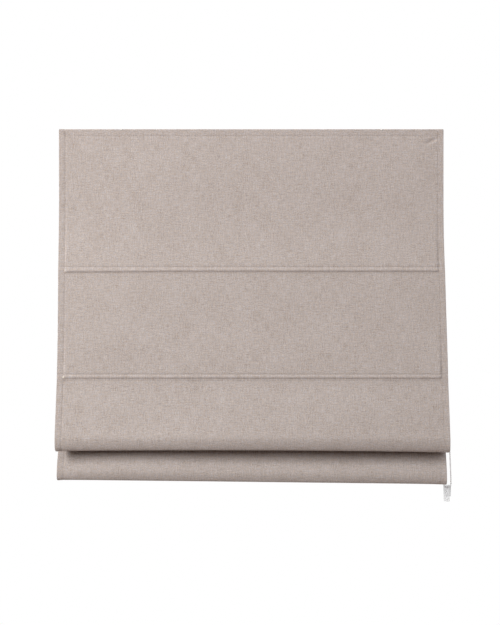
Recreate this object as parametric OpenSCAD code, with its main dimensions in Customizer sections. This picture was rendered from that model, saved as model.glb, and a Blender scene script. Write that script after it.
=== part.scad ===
// Roman blind, partly raised: cassette headrail, cloth with rods, lift cords and bead chain drive.
// Millimetres. +Z is up and the front faces -Y. The origin lies on the wall, in the middle of the
// four screw holes of the two brackets.

/* [Cloth] */
// Width of the cloth
fabric_w = 1150; // [800:10:1800]
// Thickness of the cloth
fabric_t = 1; // [0.7:0.1:1.2]
// Width of the turned side hems
side_hem_w = 17; // [12:1:25]
// Height of the turned top hem
top_hem_h = 23; // [20:1:30]
// Height of the turned bottom hem
bottom_hem_h = 28; // [25:1:40]
// Top edge to the first rod
first_rod_drop = 422; // [320:2:480]
// Distance between two rods on the flat cloth
rod_pitch = 316; // [290:1:340]

/* [Folds] */
// How far the first rod stands forward of the top edge
first_lean = 13; // [5:0.5:18]
// How far the second rod stands forward of the top edge
second_lean = 38.5; // [32:0.5:44]
// Height of the leaning part above the first rod
lean_start = 210; // [150:5:250]
// How far the middle of a panel sags back between two rods
panel_sag = 2.5; // [0:0.5:4]
// Second rod to the underside of the front fold
front_fold_len = 213; // [198:1:228]
// Front of the front fold, forward of the top edge
front_fold_lean = 65; // [58:0.5:72]
// Radius of the front fold
front_fold_r = 21; // [17:0.5:23]
// Underside of the lower fold below that of the front fold
lower_fold_below = 98; // [85:1:110]
// Front of the lower fold, forward of the top edge
lower_fold_lean = 36; // [32:0.5:40]
// Radius of the lower fold
lower_fold_r = 12; // [9:0.5:13]
// Third rod's arch above the underside of the front fold
third_rod_rise = 69; // [60:1:78]
// Third rod's arch, forward of the top edge
third_lean = 12; // [10:0.5:14]
// Fourth rod's arch below the third
stack_step = 52; // [44:1:60]
// Fourth rod's arch behind the top edge
fourth_back = 2.5; // [1:0.5:5]
// Bottom hem above the underside of the lower fold
hem_rise = 13; // [8:1:25]

/* [Rods and tapes] */
// Diameter of a rod
rod_d = 5; // [4:0.5:6]
// Width of a pocket tape
tape_w = 13.5; // [12:0.5:16]
// Thickness of a pocket tape
tape_t = 0.6; // [0.4:0.1:0.9]
// How far a rod pushes the cloth forward
ridge = 2.5; // [1.5:0.1:3]
// Radius of the cloth arch under a gathered rod
arch_r = 5; // [4:0.5:6]
// Radius of a cord ring, to the middle of its wire
ring_r = 5; // [4.5:0.5:7]
// Wire diameter of a cord ring
ring_wire = 1.8; // [1.2:0.1:2.2]
// Height of the weight bar
bar_h = 20; // [15:1:24]
// Thickness of the weight bar
bar_t = 3; // [2:0.5:4]

/* [Headrail] */
// Height of the rail
rail_h = 32; // [31:0.5:40]
// Depth of the rail
rail_d = 34; // [33:0.5:42]
// Wall of the rail
rail_wall = 1.5; // [1.2:0.1:1.8]
// Width of the rail's two top lips
lip_w = 6; // [5:0.5:7]
// Size of the two ribs that hold the cradles down
rib = 1.2; // [0.8:0.1:1.4]
// Rail to the wall
wall_gap = 7; // [6:0.5:12]
// Height of the hook-and-loop tapes
hook_h = 20; // [15:1:22]
// Thickness of the hook tape
hook_t = 1.8; // [1.2:0.1:2.4]
// Thickness of the loop tape
loop_t = 1.4; // [1:0.1:2]
// Depth of the rail's recess for the hook tape
recess = 0.6; // [0.4:0.1:0.8]
// End of the cloth to the end of the headrail
end_inset = 3; // [1:0.5:6]
// Thickness of the end cap
cap_t = 3; // [2:0.5:5]

/* [Brackets] */
// End of the cloth to the middle of a bracket
bracket_inset = 186.5; // [150:0.5:250]
// Width of a bracket
bracket_w = 25; // [20:1:35]
// Thickness of the bracket's steel
bracket_t = 1.5; // [1.2:0.1:2]
// Distance between a bracket's two wall screws
screw_pitch = 16; // [12:1:18]
// Diameter of a wall screw hole
screw_d = 4.5; // [4:0.1:5]
// Diameter of a locking lever's pivot
pivot_d = 5; // [4:0.5:6]
// Length of a locking lever's handle
handle_len = 20; // [16:1:20]
// Height of the thumb tab at a handle's end
thumb_h = 6; // [4:0.5:8]
// Width of a bracket's nose over the cloth
nose_w = 5; // [4:0.5:8]
// How far a nose reaches down over the cloth
nose_h = 3; // [2.5:0.5:6]
// Width of a bracket's hook under the rail's lip
hook_w = 10; // [8:0.5:14]

/* [Lift mechanism] */
// Side of the square shaft
shaft_w = 6; // [5:0.5:6.5]
// End of the cloth to the outer lift cords
cord_inset = 120; // [90:5:140]
// Diameter of a lift cord
cord_d = 1.4; // [1:0.1:1.6]
// Diameter of a spool's drum
drum_d = 14; // [12:0.5:15]
// Length of a spool's drum
drum_len = 26; // [22:1:32]
// Diameter of a spool's flanges
flange_d = 22; // [20:0.5:23]
// Diameter of a spool's journals
journal_d = 10; // [9.5:0.5:11]
// Turns of cord on a spool
turns = 10; // [6:1:12]

/* [Chain drive] */
// Width of the drive at the end of the rail
drive_w = 24; // [22:1:30]
// Thickness of the drive's cover
cover_t = 4; // [3:0.5:5]
// Diameter of the sprocket's hub, inside the brake spring
hub_d = 16; // [15:0.5:17]
// Wire diameter of the brake spring
spring_wire = 1.4; // [1:0.1:1.6]
// Length of the brake spring
spring_len = 8; // [6:0.5:9]
// How far the drive plugs into the rail
plug_len = 12; // [11:0.5:16]
// Height of the chain guides under the drive
guide_h = 3; // [2:0.5:6]

/* [Chain] */
// Distance between two beads
bead_pitch = 6; // [5.8:0.1:6.2]
// Diameter of a bead
bead_d = 4.5; // [4:0.1:4.8]
// Diameter of the thread inside the chain
thread_d = 1.3; // [1:0.1:1.5]
// Shaft to the centre of the chain's bend in the tensioner
chain_drop = 1052; // [700:1:1500]
// Tensioner's middle, outside the end of the cloth
tensioner_out = 21.5; // [16:0.5:30]
// Height of the tensioner
tensioner_h = 51; // [48:1:60]
// Width of the tensioner at its top
tensioner_w = 21.6; // [20:0.2:24]
// Width of the tensioner at its bottom
tensioner_foot_w = 17.2; // [14:0.2:19]
// Distance between the tensioner's two screws
tensioner_pitch = 22; // [20:1:24]
// Diameter of a tensioner screw hole
tensioner_hole_d = 4; // [3.5:0.1:4.5]

/* [Hidden] */
// Clearances: sewn or resting pieces, a running fit's radius, and parts that pass each other
fit = 0.2;
run = 0.08;
gap = 0.3;
$fn = 48;

// Colours
cloth_grey = [0.72, 0.68, 0.65];
white_paint = [0.93, 0.93, 0.92];
white_plastic = [0.95, 0.95, 0.94];
grey_plastic = [0.8, 0.81, 0.82];
steel = [0.72, 0.73, 0.75];
cord_white = [0.96, 0.95, 0.92];
clear_plastic = [0.85, 0.88, 0.9, 0.6];

// Headrail places
head_top = rail_h / 2 + 2;
rail_bottom = head_top - rail_h;
rail_back = -wall_gap;
rail_front = rail_back - rail_d;
shaft_y = (rail_back + rail_front) / 2;
shaft_z = head_top - rail_h / 2;
rail_x0 = -fabric_w / 2 + end_inset + cap_t;
rail_x1 = fabric_w / 2 - end_inset - drive_w;
drive_x1 = rail_x1 + drive_w - cover_t;
cover_x1 = rail_x1 + drive_w;
sprocket_x = (rail_x1 + cover_x1) / 2;
inner_d = rail_d - 2 * rail_wall;
inner_h = rail_h - 2 * rail_wall;
rail_floor = rail_bottom + rail_wall;
cradle_base = 1.6;
rib_z = rail_floor + cradle_base + fit;
edge_step = 1;
bracket_spacing = fabric_w - 2 * bracket_inset;
cord_spacing = fabric_w / 2 - cord_inset;

// Cloth places: forward distances are measured from the middle of the front layer at the top edge
hem_turn_r = fabric_t / 2 + fit;
top_gap = 0.4;
fabric_top = head_top - top_gap;
sheet_y = rail_front + recess - hook_t - loop_t - fit - fabric_t / 2 - 2 * hem_turn_r;
rod_1_z = fabric_top - first_rod_drop;
rod_2_z = rod_1_z - rod_pitch;
front_fold_z = rod_2_z - front_fold_len;
lower_fold_z = front_fold_z - lower_fold_below;
front_c = [front_fold_lean - front_fold_r, front_fold_z + front_fold_r + fabric_t / 2];
lower_c = [lower_fold_lean - lower_fold_r, lower_fold_z + lower_fold_r + fabric_t / 2];
arch_3 = [third_lean, front_fold_z + third_rod_rise];
arch_4 = [-fourth_back, arch_3[1] - stack_step];
bar_pocket_r = bar_t / 2 + fit + fabric_t / 2;
hem_c = [arch_4[0] - arch_r - bar_pocket_r, lower_fold_z + hem_rise + bar_pocket_r + fabric_t / 2];
inside_hems = fabric_w / 2 - side_hem_w - 1;
half_tape = tape_w / 2;

// Chain places
pockets = 12;
pitch_r = bead_pitch / (2 * sin(180 / pockets));
bead_r = bead_d / 2;
thread_r = thread_d / 2;
plate_t = 3.4;
groove_room = 0.6;
chain_y = -(plate_t + 0.25 + groove_room + bead_r);
bend_c = [fabric_w / 2 + tensioner_out, chain_y, shaft_z - chain_drop];

function lerp(a, b, t) = a + (b - a) * t;
function reverse(list) = [for (i = [len(list) - 1:-1:0]) list[i]];
function unit(v) = v / norm(v);
function polar(c, r, a) = c + r * [cos(a), sin(a)];
function arc(c, r, a0, a1, n) = [for (i = [0:n]) polar(c, r, lerp(a0, a1, i / n))];
function bezier(a, b, c, d, n) = [for (i = [1:n]) let (t = i / n, s = 1 - t)
    s * s * s * a + 3 * s * s * t * b + 3 * s * t * t * c + t * t * t * d];

// Angle of the normal of the straight line that crosses between two circles, and touches both
function cross_tangent(c1, r1, c2, r2) = let (v = c2 - c1)
    atan2(v[1], v[0]) + acos((r1 + r2) / norm(v));

// Angle at which a line from a point above touches the front of a circle
function touch_angle(p, c, r) = let (v = p - c)
    atan2(v[1], v[0]) - acos(r / norm(v));

// Forward place of the front sheet at a height, down to the front fold
fold_start = polar(front_c, front_fold_r, touch_angle([second_lean, rod_2_z], front_c, front_fold_r));
function sagged(a, b, t) = lerp(a, b, t) - panel_sag * sin(180 * t);
function sheet_f(z) =
    z > rod_1_z + lean_start ? 0 :
    z > rod_1_z ? first_lean * pow((rod_1_z + lean_start - z) / lean_start, 2) :
    z > rod_2_z ? sagged(first_lean, second_lean, (rod_1_z - z) / rod_pitch) :
    sagged(second_lean, fold_start[0], (rod_2_z - z) / (rod_2_z - fold_start[1]));
function sheet_points(z0, z1, n) = [for (i = [0:n]) let (z = lerp(z0, z1, i / n)) [sheet_f(z), z]];

// A sewn rod's frame on the front sheet: its middle, and the way down along the cloth
function ridge_up(z) = [sheet_f(z + half_tape), z + half_tape];
function ridge_down(z) = [sheet_f(z - half_tape), z - half_tape];
function ridge_mid(z) = (ridge_up(z) + ridge_down(z)) / 2;
function ridge_way(z) = unit(ridge_down(z) - ridge_up(z));
function ridge_tilt(z) = atan2(ridge_way(z)[0], -ridge_way(z)[1]);
function ridge_points(z, n) = [for (i = [1:n - 1]) let (s = lerp(-1, 1, i / n), w = ridge_way(z))
    ridge_mid(z) + s * half_tape * w + ridge * pow(cos(90 * s), 2) * [-w[1], w[0]]];

// Middle line of the folded cloth, [forward, height], from the turned top hem to the bottom hem
a_touch = touch_angle([second_lean, rod_2_z], front_c, front_fold_r);
a_front = cross_tangent(front_c, front_fold_r, arch_3, arch_r) - 360;
a_lower = cross_tangent(lower_c, lower_fold_r, arch_4, arch_r) - 360;
arch_3_end = polar(arch_3, arch_r, 180);
lower_start = polar(lower_c, lower_fold_r, 0);
lower_span = arch_3_end[1] - lower_start[1];
top_hem = concat([[-2 * hem_turn_r, fabric_top - top_hem_h]],
    arc([-hem_turn_r, fabric_top - fabric_t / 2 - hem_turn_r], hem_turn_r, 180, 0, 6));
body_line = concat(
    [[0, fabric_top - top_hem_h]],
    sheet_points(rod_1_z + lean_start, rod_1_z + half_tape, 8),
    ridge_points(rod_1_z, 10),
    sheet_points(rod_1_z - half_tape, rod_2_z + half_tape, 10),
    ridge_points(rod_2_z, 10),
    sheet_points(rod_2_z - half_tape, fold_start[1], 8),
    arc(front_c, front_fold_r, a_touch - 6, a_front, 16),
    arc(arch_3, arch_r, a_front + 180, 180, 8),
    bezier(arch_3_end, arch_3_end - [0, 0.52 * lower_span], lower_start + [0, 0.245 * lower_span],
        lower_start, 14),
    arc(lower_c, lower_fold_r, -12, a_lower, 12),
    arc(arch_4, arch_r, a_lower + 180, 180, 8));
bottom_hem = concat(arc(hem_c, bar_pocket_r, 0, -180, 8),
    [[hem_c[0] - bar_pocket_r, hem_c[1] + bottom_hem_h]]);
cloth_line = concat(top_hem, body_line, bottom_hem);

// A line of cloth moved sideways, to the front or, with a minus sign, to the back
function shifted(line, d) = let (last = len(line) - 1) [for (i = [0:last])
    let (t = unit(line[min(i + 1, last)] - line[max(i - 1, 0)])) line[i] + d * [-t[1], t[0]]];
function to_yz(line) = [for (p = line) [sheet_y - p[0], p[1]]];
function band(line, d0, d1) = to_yz(concat(shifted(line, d0), reverse(shifted(line, d1))));

// Lift cord places
cord_x = [-cord_spacing, 0, cord_spacing];
turn_pitch = 0.95 * cord_d;
turn_r = drum_d / 2 + run + cord_d / 2;
wind_x0 = -drum_len / 2 + cord_d;
exit_x = wind_x0 + turns * turn_pitch + cord_d / 10;
cord_y = shaft_y - turn_r;
rod_r = rod_d / 2;
ridge_rod_n = fabric_t / 2 + fit + rod_r - ridge;
ridge_tape_n = fabric_t / 2 + fit;
ridge_tape_b = ridge_rod_n + rod_r + fit - ridge_tape_n;
arch_rod_n = arch_r + fabric_t / 2 + fit + rod_r;
arch_tape_a = arch_r + fabric_t / 2 + fit;
arch_tape_b = arch_rod_n + rod_r + fit;
ring_out = ring_r + ring_wire / 2;
arch_ring_n = 6;
arch_tape_y = (arch_tape_a + tape_t) * sqrt(1 - pow(arch_ring_n / (arch_tape_b + tape_t), 2));
arch_ring_y = arch_tape_y + fit + ring_out;
function ridge_back(z, n) = let (m = ridge_mid(z), w = ridge_way(z)) m + n * [w[1], -w[0]];
function ridge_ring(z) = ridge_back(z, ridge_tape_n + ridge_tape_b + tape_t + fit + ring_out);
ring_spots = to_yz([ridge_ring(rod_1_z), ridge_ring(rod_2_z),
    arch_3 + [-arch_ring_y, arch_ring_n], arch_4 + [-arch_ring_y, arch_ring_n]]);
stop_h = 8;
stop_top = ring_spots[3][1] - ring_wire / 2 - fit;
cord_route = concat([[cord_y, shaft_z], [cord_y, rail_bottom - rail_wall]], ring_spots,
    [[ring_spots[3][0], stop_top - stop_h]]);

// Extrudes a section drawn in Y and Z along X
module along_x(x0, x1) {
    translate([x0, 0, 0]) rotate([90, 0, 90]) linear_extrude(x1 - x0) children();
}

// Puts a turned part's axis on the shaft, from an X place
module on_shaft(x) {
    translate([x, shaft_y, shaft_z]) rotate([90, 0, 90]) children();
}

// Aims the local Z axis from one point to another
module aim(p, q) {
    v = q - p;
    translate(p) rotate([0, acos(v[2] / norm(v)), atan2(v[1], v[0])]) children();
}

// Box between two opposite corners
module box(a, b) {
    translate(a) cube(b - a);
}

// Rectangle between two opposite corners
module block(a, b) {
    translate([min(a[0], b[0]), min(a[1], b[1])]) square([abs(b[0] - a[0]), abs(b[1] - a[1])]);
}

// Rectangle between two opposite corners, with the two corners at the first one's height round
module tab(a, b, r) {
    up = sign(b[1] - a[1]);
    union() {
        block(a + [0, up * r], b);
        block(a + [r, 0], [b[0] - r, a[1] + up * r]);
        for (x = [a[0] + r, b[0] - r]) translate([x, a[1] + up * r]) circle(r);
    }
}

// Quarter of a bent strip about a centre, up and to one side
module bend(c, inner_r, t, side) {
    translate(c) intersection() {
        difference() {
            circle(inner_r + t);
            circle(inner_r);
        }
        block([0, 0], [side * (inner_r + t), inner_r + t]);
    }
}

// Section of the headrail's outside, with round lower corners, or a smaller one inside it
module rail_outside(inset = 0) {
    tab([rail_front + inset, rail_bottom + inset], [rail_back - inset, head_top - inset], 2);
}

// The two ribs on the rail's side walls, or the room for them
module rail_ribs(room = 0) {
    for (side = [-1, 1]) let (wall_y = shaft_y + side * inner_d / 2)
        block([wall_y + side * rail_wall / 2, rib_z - room],
            [wall_y - side * (rib + room), rib_z + rib + room]);
}

module headrail() {
    opening = inner_d - 2 * lip_w;
    color(white_paint) difference() {
        along_x(rail_x0, rail_x1) union() {
            difference() {
                rail_outside();
                translate([rail_front + rail_wall, rail_floor]) square([inner_d, inner_h]);
                block([shaft_y - opening / 2, head_top - rail_wall - 1],
                    [shaft_y + opening / 2, head_top + 1]);
                block([rail_front - 1, head_top - hook_h - 1 - fit],
                    [rail_front + recess, head_top - 1 + fit]);
            }
            rail_ribs();
        }
        for (x = cord_x)
            translate([x + exit_x, cord_y, rail_bottom - 1]) cylinder(r = 3, h = rail_wall + 2);
    }
}

module end_cap() {
    boss_len = 12;
    tongue_w = inner_d - 2 * rib - 2 * fit;
    color(white_plastic) difference() {
        union() {
            along_x(rail_x0 - cap_t, rail_x0) rail_outside(edge_step);
            along_x(rail_x0 - cap_t + edge_step, rail_x0) rail_outside();
            on_shaft(rail_x0 - 1) cylinder(d = journal_d + 6, h = boss_len + 1);
            for (z = [rail_floor + fit, head_top - rail_wall - fit - 2])
                box([rail_x0 - 1, shaft_y - tongue_w / 2, z],
                    [rail_x0 + boss_len, shaft_y + tongue_w / 2, z + 2]);
        }
        on_shaft(rail_x0) cylinder(d = journal_d + 2 * run, h = boss_len + 1);
    }
}

module shaft_bush() {
    boss_len = 12;
    color(grey_plastic) difference() {
        union() {
            on_shaft(rail_x0 + fit) cylinder(d = journal_d, h = boss_len + 2);
            on_shaft(rail_x0 + boss_len + fit) cylinder(d = journal_d + 4, h = 2);
        }
        shaft_hole(rail_x0 + 2, rail_x0 + boss_len + 4);
    }
}

// Square hole that the shaft slides into
module shaft_hole(x0, x1) {
    w = shaft_w + 2 * run;
    box([x0, shaft_y - w / 2, shaft_z - w / 2], [x1, shaft_y + w / 2, shaft_z + w / 2]);
}

module drive_shaft() {
    color(steel) box([rail_x0 + 2 + fit, shaft_y - shaft_w / 2, shaft_z - shaft_w / 2],
        [sprocket_x - fit, shaft_y + shaft_w / 2, shaft_z + shaft_w / 2]);
}

module hook_tape() {
    y = rail_front + recess;
    color(white_plastic)
        box([rail_x0 + 2, y - hook_t, head_top - hook_h - 1], [rail_x1 - 2, y, head_top - 1]);
}

module loop_tape() {
    y = rail_front + recess - hook_t;
    color(cloth_grey) box([-inside_hems, y - loop_t, fabric_top - hook_h - 1],
        [inside_hems, y, fabric_top - 1]);
}

// Chain wheel and drive case
cavity_r = pitch_r + bead_r + 0.8;
flange_half = 2.75 + 1.2;
case_x0 = sprocket_x - flange_half - 0.5;

module drive_housing() {
    slot_x = flange_half + 0.6;
    slot_y = bead_r + 0.7;
    guide_wall = 1.2;
    guide = [slot_x + guide_wall, slot_y + guide_wall];
    color(white_plastic) difference() {
        union() {
            along_x(rail_x1, drive_x1) rail_outside();
            along_x(rail_x1 - plug_len, rail_x1 + 1) difference() {
                translate([rail_front + rail_wall + fit, rail_floor + fit])
                    square([inner_d - 2 * fit, inner_h - 2 * fit]);
                rail_ribs(fit);
            }
            for (side = [-1, 1]) translate([sprocket_x, shaft_y + side * pitch_r, rail_bottom - guide_h])
                linear_extrude(guide_h + rail_wall) union() {
                    tab([-guide[0], -guide[1]], [guide[0], 0], guide_wall);
                    tab([-guide[0], guide[1]], [guide[0], 0], guide_wall);
                }
        }
        on_shaft(case_x0) cylinder(r = cavity_r, h = drive_w);
        on_shaft(rail_x1 - plug_len - 1) cylinder(d = hub_d + 2 * run, h = drive_w);
        on_shaft(rail_x1 - plug_len - 1) cylinder(d = hub_d + 2 * spring_wire + 4 * fit, h = spring_len + 2);
        for (side = [-1, 1]) let (y = shaft_y + side * pitch_r)
            box([sprocket_x - slot_x, y - slot_y, rail_bottom - guide_h - 1],
                [sprocket_x + slot_x, y + slot_y, shaft_z]);
    }
}

module drive_cover() {
    color(white_plastic) difference() {
        union() {
            along_x(drive_x1, cover_x1 - edge_step) rail_outside();
            along_x(drive_x1, cover_x1) rail_outside(edge_step);
            on_shaft(sprocket_x + flange_half + 0.5)
                cylinder(d = journal_d + 5, h = drive_x1 - sprocket_x - flange_half);
        }
        on_shaft(sprocket_x) cylinder(d = journal_d + 2 * run, h = cover_x1 - sprocket_x - 1.5);
    }
}

module sprocket() {
    groove_r = pitch_r * cos(180 / pockets) - thread_r - 0.3;
    core_r = pitch_r - 0.1;
    color(grey_plastic) difference() {
        union() {
            on_shaft(sprocket_x - flange_half) cylinder(r = core_r, h = 2 * flange_half);
            for (x = [-flange_half, flange_half - 1.2])
                on_shaft(sprocket_x + x) cylinder(r = pitch_r + 1.8, h = 1.2);
            on_shaft(rail_x1 - plug_len + 1) cylinder(d = hub_d, h = sprocket_x - rail_x1 + plug_len - 1);
            on_shaft(sprocket_x) cylinder(d = journal_d, h = cover_x1 - sprocket_x - 1.5 - fit);
        }
        on_shaft(sprocket_x) for (i = [0:pockets - 1]) rotate(i * 360 / pockets)
            translate([pitch_r, 0, 0]) sphere(r = bead_r + 0.2);
        on_shaft(sprocket_x - thread_r - 0.3) difference() {
            cylinder(r = pitch_r + 1, h = thread_d + 0.6);
            translate([0, 0, -1]) cylinder(r = groove_r, h = thread_d + 3);
        }
        shaft_hole(rail_x1 - plug_len, sprocket_x);
    }
}

module brake_spring() {
    coils = floor(spring_len / spring_wire);
    color(steel) on_shaft(rail_x1 - plug_len + 1.2) rotate_extrude()
        for (i = [0:coils - 1])
            translate([hub_d / 2 + run + spring_wire / 2, spring_wire / 2 + i * 0.95 * spring_wire])
                circle(d = spring_wire, $fn = 24);
}

// Cradle that snaps into the rail and carries one spool
module cradle(x) {
    wall = 2.5;
    half = drum_len / 2 + 1.5 + 0.4;
    top_z = shaft_z + journal_d / 2 + 2.5;
    base_w = inner_d - 2 * fit;
    wall_w = base_w - 2 * rib;
    color(white_plastic) difference() {
        union() {
            box([x - half - wall, shaft_y - base_w / 2, rail_floor],
                [x + half + wall, shaft_y + base_w / 2, rail_floor + cradle_base]);
            for (side = [-1, 1]) let (xs = x + side * (half + wall / 2))
                along_x(xs - wall / 2, xs + wall / 2)
                tab([shaft_y - wall_w / 2, top_z], [shaft_y + wall_w / 2, rail_floor], 3);
        }
        on_shaft(x - half - wall - 1) cylinder(d = journal_d + 2 * run, h = 2 * (half + wall + 1));
        box([x - half - wall - 1, shaft_y - journal_d * 0.42, shaft_z],
            [x + half + wall + 1, shaft_y + journal_d * 0.42, top_z + 1]);
        translate([x + exit_x, cord_y, rail_floor - 1]) cylinder(r = 2, h = cradle_base + 2);
    }
}

module spool(x) {
    half = drum_len / 2;
    journal_half = half + 1.5 + 0.4 + 2.5 + 0.6;
    color(grey_plastic) difference() {
        union() {
            on_shaft(x - journal_half) cylinder(d = journal_d, h = 2 * journal_half);
            on_shaft(x - half) cylinder(d = drum_d, h = drum_len);
            for (x0 = [x - half - 1.5, x + half]) on_shaft(x0) cylinder(d = flange_d, h = 1.5);
        }
        shaft_hole(x - journal_half - 1, x + journal_half + 1);
        on_shaft(x - half - 2) translate([drum_d / 2 + 1, -1, 0]) cube([flange_d, 2, 3]);
    }
}

// Turns of lift cord on a spool
module winding(x) {
    color(cord_white) on_shaft(x) rotate_extrude()
        for (i = [0:turns - 1]) translate([turn_r, wind_x0 + i * turn_pitch]) circle(d = cord_d, $fn = 16);
}

// Tube with flat sides swept along a route in Y and Z
module cord_tube(route, x, d) {
    sides = 8;
    last = len(route) - 1;
    points = [for (i = [0:last])
        let (t = unit(route[min(i + 1, last)] - route[max(i - 1, 0)]))
        for (k = [0:sides - 1]) let (a = 360 * k / sides, u = d / 2 * cos(a), v = d / 2 * sin(a))
            [x + u, route[i][0] - v * t[1], route[i][1] + v * t[0]]];
    walls = [for (i = [0:last - 1]) for (k = [0:sides - 1]) let (n = (k + 1) % sides)
        [i * sides + k, (i + 1) * sides + k, (i + 1) * sides + n, i * sides + n]];
    ends = [[for (k = [0:sides - 1]) k], [for (k = [sides - 1:-1:0]) last * sides + k]];
    polyhedron(points, concat(walls, ends));
}

module lift_cord(x) {
    color(cord_white) cord_tube(cord_route, x + exit_x, cord_d);
}

module cord_stops() {
    y = ring_spots[3][0];
    color(white_plastic) for (x = cord_x) translate([x + exit_x, y, stop_top - stop_h]) difference() {
        union() {
            cylinder(r = ring_r - 0.4, h = stop_h - 3);
            translate([0, 0, stop_h - 3]) cylinder(r1 = ring_r - 0.4, r2 = ring_r - 1.4, h = 3);
        }
        translate([0, 0, -1]) cylinder(d = cord_d + 2 * fit, h = stop_h + 2);
    }
}

module fabric() {
    half = fabric_w / 2;
    color(cloth_grey) union() {
        along_x(-half, half) polygon(band(cloth_line, fabric_t / 2, -fabric_t / 2));
        for (x0 = [-half, half - side_hem_w])
            along_x(x0, x0 + side_hem_w) polygon(band(body_line, 0, -1.5 * fabric_t));
    }
}

// Places a section on the back of a sewn rod, with local Y away from the cloth
module at_ridge(z) {
    p = ridge_mid(z);
    translate([sheet_y - p[0], p[1]]) rotate(-90 - ridge_tilt(z)) children();
}

module at_arch(c) {
    translate([sheet_y - c[0], c[1]]) children();
}

// Half an oval band, open towards the cloth
module tape_section(a, b, n0) {
    outer = [for (i = [0:20]) [(a + tape_t) * cos(9 * i), (b + tape_t) * sin(9 * i) + n0]];
    inner = [for (i = [20:-1:0]) [a * cos(9 * i), b * sin(9 * i) + n0]];
    polygon(concat(outer, inner));
}

module pocket_tape(k) {
    color(cloth_grey) along_x(-inside_hems, inside_hems) {
        if (k == 1) at_ridge(rod_1_z) tape_section(half_tape, ridge_tape_b, ridge_tape_n);
        if (k == 2) at_ridge(rod_2_z) tape_section(half_tape, ridge_tape_b, ridge_tape_n);
        if (k == 3) at_arch(arch_3) tape_section(arch_tape_a, arch_tape_b, 0);
        if (k == 4) at_arch(arch_4) tape_section(arch_tape_a, arch_tape_b, 0);
    }
}

module rod(k) {
    color(white_plastic) along_x(3 - inside_hems, inside_hems - 3) {
        if (k == 1) at_ridge(rod_1_z) translate([0, ridge_rod_n]) circle(d = rod_d);
        if (k == 2) at_ridge(rod_2_z) translate([0, ridge_rod_n]) circle(d = rod_d);
        if (k == 3) at_arch(arch_3) translate([0, arch_rod_n]) circle(d = rod_d);
        if (k == 4) at_arch(arch_4) translate([0, arch_rod_n]) circle(d = rod_d);
    }
}

module rings(k) {
    color(clear_plastic) for (x = cord_x)
        translate([x + exit_x, ring_spots[k - 1][0], ring_spots[k - 1][1]])
            rotate_extrude() translate([ring_r, 0]) circle(d = ring_wire, $fn = 24);
}

module weight_bar() {
    color(white_paint) along_x(3 - inside_hems, inside_hems - 3)
        translate([sheet_y - hem_c[0], hem_c[1] + bar_h / 2]) union() {
            tab([-bar_t / 2, -bar_h / 2], [bar_t / 2, 0], 1);
            tab([-bar_t / 2, bar_h / 2], [bar_t / 2, 0], 1);
        }
}

// Wall bracket: wall leg, top plate over the rail, two webs, hook under the front lip, nose over the cloth
module bracket(x) {
    half = bracket_w / 2;
    t = bracket_t;
    plate_z = head_top + t;
    corner = [-2 * t, plate_z - 2 * t];
    lip_edge = rail_front + rail_wall + lip_w;
    hook_z = head_top - rail_wall - gap;
    nose_y = sheet_y - fabric_t / 2 - gap;
    nose_r = 0.5;
    foot_z = -screw_pitch / 2 - screw_d - 2;
    web = wall_gap - 1;
    color(white_paint) difference() {
        union() {
            along_y(-t, 0) tab([x - half, foot_z], [x + half, corner[1]], 4);
            along_x(x - half, x + half) bend(corner, t, t, 1);
            translate([0, 0, head_top]) linear_extrude(t)
                tab([x - half, rail_front + 2], [x + half, corner[0]], 4);
            for (side = [-1, 1]) let (xs = x + side * (half - 4))
                along_x(xs - t / 2, xs + t / 2)
                polygon([[-t / 2, plate_z - 2 * t], [-t / 2, head_top - web], [-t, head_top - web],
                    [-web, head_top], [-web, head_top + t / 2], [-2 * t, head_top + t / 2]]);
            along_x(x - nose_w / 2, x + nose_w / 2) union() {
                block([nose_y + nose_r, head_top], [rail_front + 3, plate_z]);
                bend([nose_y + nose_r, head_top - nose_r], nose_r, t, -1);
                tab([nose_y - t, head_top - nose_h], [nose_y, head_top - nose_r], 0.6);
            }
            along_x(x - hook_w / 2, x + hook_w / 2) union() {
                block([lip_edge + gap, hook_z - t], [lip_edge + gap + t, plate_z]);
                block([lip_edge - lip_w + 1, hook_z - t], [lip_edge + gap + t, hook_z]);
            }
        }
        for (z = [-screw_pitch / 2, screw_pitch / 2])
            translate([x, 1, z]) rotate([90, 0, 0]) cylinder(d = screw_d, h = t + 2);
        translate([x, pivot_y, head_top - 1]) cylinder(d = pivot_d + 2 * run, h = t + 2);
    }
}

// Locking lever: handle above the bracket's plate, pivot through it, cam under the rail's rear lip
cam_r = pivot_d / 2 + 3;
pivot_y = rail_back - rail_wall - lip_w - cam_r - 1;
module lever(x) {
    t = bracket_t;
    cam_z = head_top - rail_wall - gap - t;
    handle_z = head_top + t + run;
    handle_w = cam_r * 1.2;
    nose_r = cam_r * 0.7;
    nose_len = rail_back - rail_wall - 2 - pivot_y;
    color(white_paint) union() {
        translate([x, pivot_y, cam_z]) cylinder(d = pivot_d, h = handle_z + t + 0.5 - cam_z);
        translate([x, pivot_y, cam_z]) linear_extrude(t) union() {
            circle(cam_r);
            tab([-nose_r, nose_len], [nose_r, 0], nose_r - 0.5);
        }
        translate([x, pivot_y, handle_z]) linear_extrude(t) union() {
            circle(cam_r);
            block([0, -handle_w / 2], [handle_len, handle_w / 2]);
        }
        along_x(x + handle_len - t, x + handle_len)
            tab([pivot_y - handle_w / 2, handle_z + thumb_h], [pivot_y + handle_w / 2, handle_z], 2);
    }
}

// Chain: a bead on every pitch along each run and round each bend
function drive_bead(a) = [sprocket_x, shaft_y + pitch_r * cos(a), shaft_z + pitch_r * sin(a)];
function lower_bead(a) = bend_c + pitch_r * [cos(a), 0, sin(a)];
front_ends = [drive_bead(180), lower_bead(0)];
rear_ends = [drive_bead(0), lower_bead(180)];
function run_step(ends) = let (l = norm(ends[1] - ends[0])) l / round(l / bead_pitch);

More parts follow.
